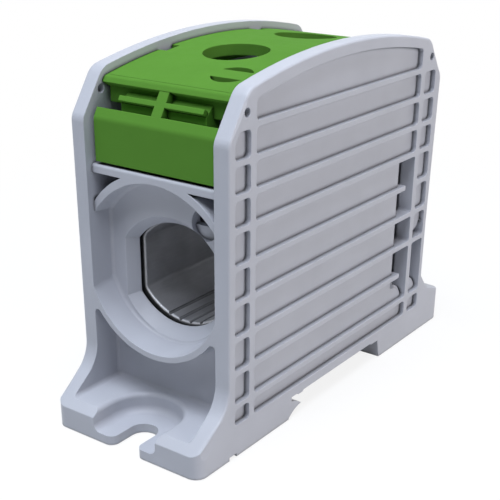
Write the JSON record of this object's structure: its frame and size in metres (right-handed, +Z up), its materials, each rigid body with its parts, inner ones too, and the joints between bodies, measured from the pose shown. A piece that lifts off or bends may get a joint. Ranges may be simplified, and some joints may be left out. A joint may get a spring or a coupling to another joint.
{
  "type": "earth terminal block",
  "caption": "Tall ribbed plastic terminal block with a lens-shaped conductor entry, a green lift-off cover over the clamp screws, slotted feet and a seat for a mounting rail",
  "frame": {"origin": "middle of the footprint, on the mounting surface", "axes": "X across the width, Y along the conductor from the front entry at -Y to the rear entry at +Y, Z up from the mounting surface"},
  "size_m": [0.037, 0.0968, 0.0733],
  "materials": {
    "housing_plastic": "light blue-grey moulded plastic, satin",
    "cover_plastic": "leaf green moulded plastic, satin",
    "block_aluminium": "tin plated aluminium",
    "screw_steel": "zinc plated steel",
    "pad_steel": "zinc plated steel",
    "latch_plastic": "light blue-grey moulded plastic, satin",
    "spring_steel": "spring steel wire"
  },
  "bodies": {
    "base": {"housing": "housing_plastic", "connector_block": "block_aluminium", "latch_spring": "spring_steel"},
    "cover": {"cover": "cover_plastic"},
    "pad_front": {"pressure_pad_front": "pad_steel"},
    "screw_front": {"clamp_screw_front": "screw_steel"},
    "pad_rear": {"pressure_pad_rear": "pad_steel"},
    "screw_rear": {"clamp_screw_rear": "screw_steel"},
    "aux": {"aux_screw": "screw_steel"},
    "latch": {"rail_latch": "latch_plastic"}
  },
  "joints": [
    {"name": "cover_lift", "type": "slide", "parent": "base", "child": "cover", "axis": [0, 0, 1], "range_m": [0, 0.03]},
    {"name": "front_clamp_travel", "type": "slide", "parent": "base", "child": "pad_front", "axis": [0, 0, -1], "range_m": [0, 0.0141]},
    {"name": "front_screw_turn", "type": "hinge", "parent": "pad_front", "child": "screw_front", "pos_m": [0, -0.012, 0.05], "axis": [0, 0, -1], "range_deg": [0, 3360]},
    {"name": "rear_clamp_travel", "type": "slide", "parent": "base", "child": "pad_rear", "axis": [0, 0, -1], "range_m": [0, 0.0141]},
    {"name": "rear_screw_turn", "type": "hinge", "parent": "pad_rear", "child": "screw_rear", "pos_m": [0, 0.012, 0.05], "axis": [0, 0, -1], "range_deg": [0, 3360]},
    {"name": "aux_screw_travel", "type": "slide", "parent": "base", "child": "aux", "axis": [0, 0, -1], "range_m": [0, 0.004]},
    {"name": "latch_slide", "type": "slide", "parent": "base", "child": "latch", "axis": [0, 1, 0], "range_m": [0, 0.0032], "stiffness_N_per_m": 600, "springref_m": -0.002, "deforming": ["latch_spring"]}
  ],
  "couplings": [
    {"joint": "front_clamp_travel", "follows": "front_screw_turn", "m_per_rad": 0.00023873},
    {"joint": "rear_clamp_travel", "follows": "rear_screw_turn", "m_per_rad": 0.00023873}
  ]
}
